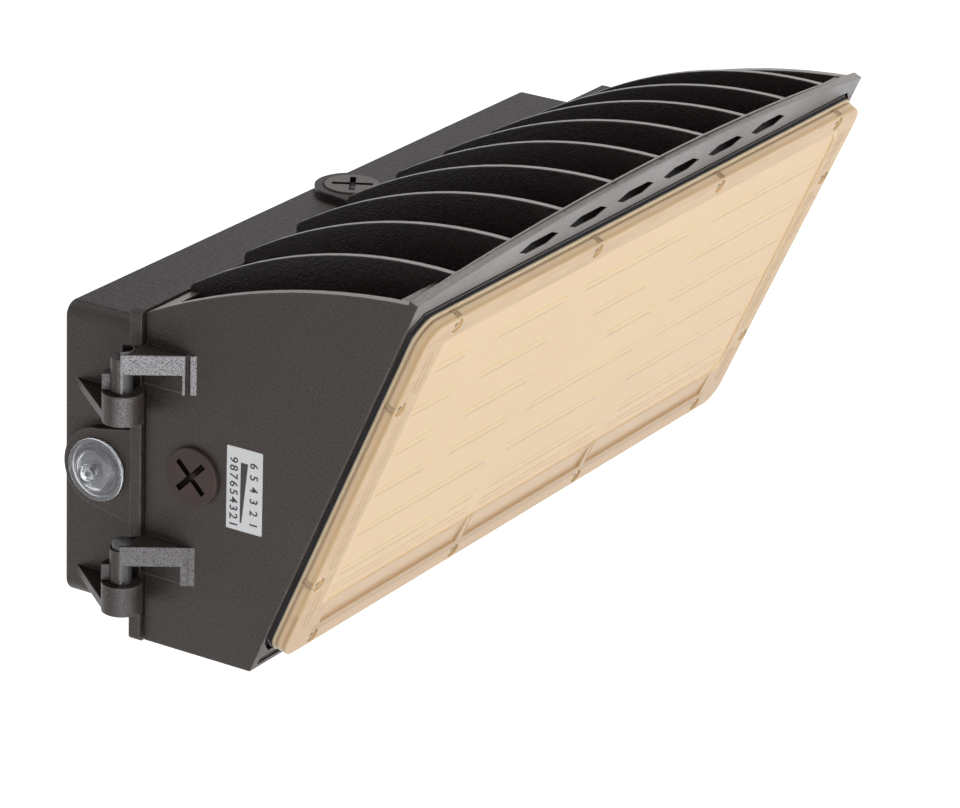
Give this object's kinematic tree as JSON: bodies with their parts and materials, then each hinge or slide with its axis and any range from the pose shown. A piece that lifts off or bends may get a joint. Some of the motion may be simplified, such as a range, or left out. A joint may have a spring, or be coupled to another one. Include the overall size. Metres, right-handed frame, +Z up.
{
  "type": "outdoor wall pack light",
  "caption": "Wedge shaped LED wall light: back box, hinged finned housing with a slanted moulded lens, photocell cap, screw plugs and a setting label.",
  "frame": {"origin": "middle of the flat back of the back box, on the wall", "axes": "+X to the right seen from the front, -Y away from the wall, +Z up"},
  "size_m": [0.3938, 0.1728, 0.1835],
  "materials": {
    "bronze_paint": "dark bronze powder coat on die-cast aluminium, painted, textured",
    "hinge_steel": "satin",
    "plated_steel": "plated",
    "dark_screw": "satin",
    "seal_rubber": "matt",
    "lens_plastic": "moulded",
    "clear_cap": "clear plastic",
    "grey_plastic": "moulded",
    "black_plastic": "moulded",
    "plug_plastic": "fine grain",
    "circuit_white": "solder mask",
    "circuit_green": "solder mask",
    "chip_yellow": "phosphor",
    "driver_metal": "brushed",
    "component_dark": "sleeved",
    "lead_sleeve": "insulation",
    "ground_green": "dyed plating",
    "label_white": "printed film"
  },
  "bodies": {
    "wall_box": {"back_box": "bronze_paint", "box_gasket": "seal_rubber", "photocell_cap": "clear_cap", "photocell_seal": "seal_rubber", "photocell_base": "grey_plastic", "photocell_sensor": "black_plastic", "photocell_nut": "plated_steel", "photocell_leads": "lead_sleeve", "terminal_block": "grey_plastic", "terminal_screws": "plated_steel", "ground_screw": "ground_green", "wire_bushing": "seal_rubber"},
    "door": {"front_housing": "bronze_paint", "hinge_pin_upper": "hinge_steel", "hinge_pin_lower": "hinge_steel", "lens_gasket": "seal_rubber", "lens": "lens_plastic", "lens_screws": "plated_steel", "led_board_left": "circuit_white", "led_board_middle": "circuit_white", "led_board_right": "circuit_white", "leds_left": "chip_yellow", "leds_middle": "chip_yellow", "leds_right": "chip_yellow", "led_board_screws": "plated_steel", "driver_case": "driver_metal", "driver_lid": "driver_metal", "driver_board": "circuit_green", "driver_components": "component_dark", "driver_bracket": "plated_steel", "driver_bracket_screws": "plated_steel", "led_leads": "lead_sleeve", "selector_board": "circuit_green", "selector_board_screws": "plated_steel", "power_switch": "black_plastic", "colour_switch": "black_plastic", "setting_label": "label_white"},
    "top_plug_ring": {"top_plug_seal": "seal_rubber"},
    "top_plug_screw": {"top_plug": "plug_plastic"},
    "cheek_plug_ring": {"cheek_plug_seal": "seal_rubber"},
    "cheek_plug_screw": {"cheek_plug": "plug_plastic"},
    "power_lever": {"power_switch_lever": "grey_plastic"},
    "colour_lever": {"colour_switch_lever": "grey_plastic"},
    "lower_closure_washer": {"closure_washer_lower": "plated_steel"},
    "lower_closure_screw": {"closure_screw_lower": "plated_steel"},
    "upper_closure_washer": {"closure_washer_upper": "plated_steel"},
    "upper_closure_screw": {"closure_screw_upper": "plated_steel"}
  },
  "joints": [
    {"name": "door_hinge", "type": "hinge", "parent": "wall_box", "child": "door", "pos_m": [-0.192, -0.0409, 0], "axis": [0, 0, -1], "range_deg": [0, 105]},
    {"name": "top_plug_lift", "type": "slide", "parent": "wall_box", "child": "top_plug_ring", "axis": [0, 0, 1], "range_m": [0, 0.0072]},
    {"name": "top_plug_turn", "type": "hinge", "parent": "top_plug_ring", "child": "top_plug_screw", "pos_m": [0.0065, -0.0166, 0.064], "axis": [0, 0, 1], "range_deg": [0, 1440]},
    {"name": "cheek_plug_lift", "type": "slide", "parent": "door", "child": "cheek_plug_ring", "axis": [-1, 0, 0], "range_m": [0, 0.0072]},
    {"name": "cheek_plug_turn", "type": "hinge", "parent": "cheek_plug_ring", "child": "cheek_plug_screw", "pos_m": [-0.18, -0.0666, 0.0061], "axis": [-1, 0, 0], "range_deg": [0, 1440]},
    {"name": "power_switch_slide", "type": "slide", "parent": "door", "child": "power_lever", "axis": [0, 0, 1], "range_m": [-0.003, 0.003]},
    {"name": "colour_switch_slide", "type": "slide", "parent": "door", "child": "colour_lever", "axis": [0, 0, 1], "range_m": [-0.002, 0.002]},
    {"name": "lower_closure_lift", "type": "slide", "parent": "door", "child": "lower_closure_washer", "axis": [0, -1, 0], "range_m": [0, 0.00424]},
    {"name": "lower_closure_turn", "type": "hinge", "parent": "lower_closure_washer", "child": "lower_closure_screw", "pos_m": [0.18745, -0.0505, -0.045], "axis": [0, -1, 0], "range_deg": [0, 1440]},
    {"name": "upper_closure_lift", "type": "slide", "parent": "door", "child": "upper_closure_washer", "axis": [0, -1, 0], "range_m": [0, 0.00424]},
    {"name": "upper_closure_turn", "type": "hinge", "parent": "upper_closure_washer", "child": "upper_closure_screw", "pos_m": [0.18745, -0.0505, 0.045], "axis": [0, -1, 0], "range_deg": [0, 1440]}
  ],
  "couplings": [
    {"joint": "top_plug_lift", "follows": "top_plug_turn", "m_per_rad": 0.00028648},
    {"joint": "cheek_plug_lift", "follows": "cheek_plug_turn", "m_per_rad": 0.00028648},
    {"joint": "lower_closure_lift", "follows": "lower_closure_turn", "m_per_rad": 0.0001687},
    {"joint": "upper_closure_lift", "follows": "upper_closure_turn", "m_per_rad": 0.0001687}
  ]
}
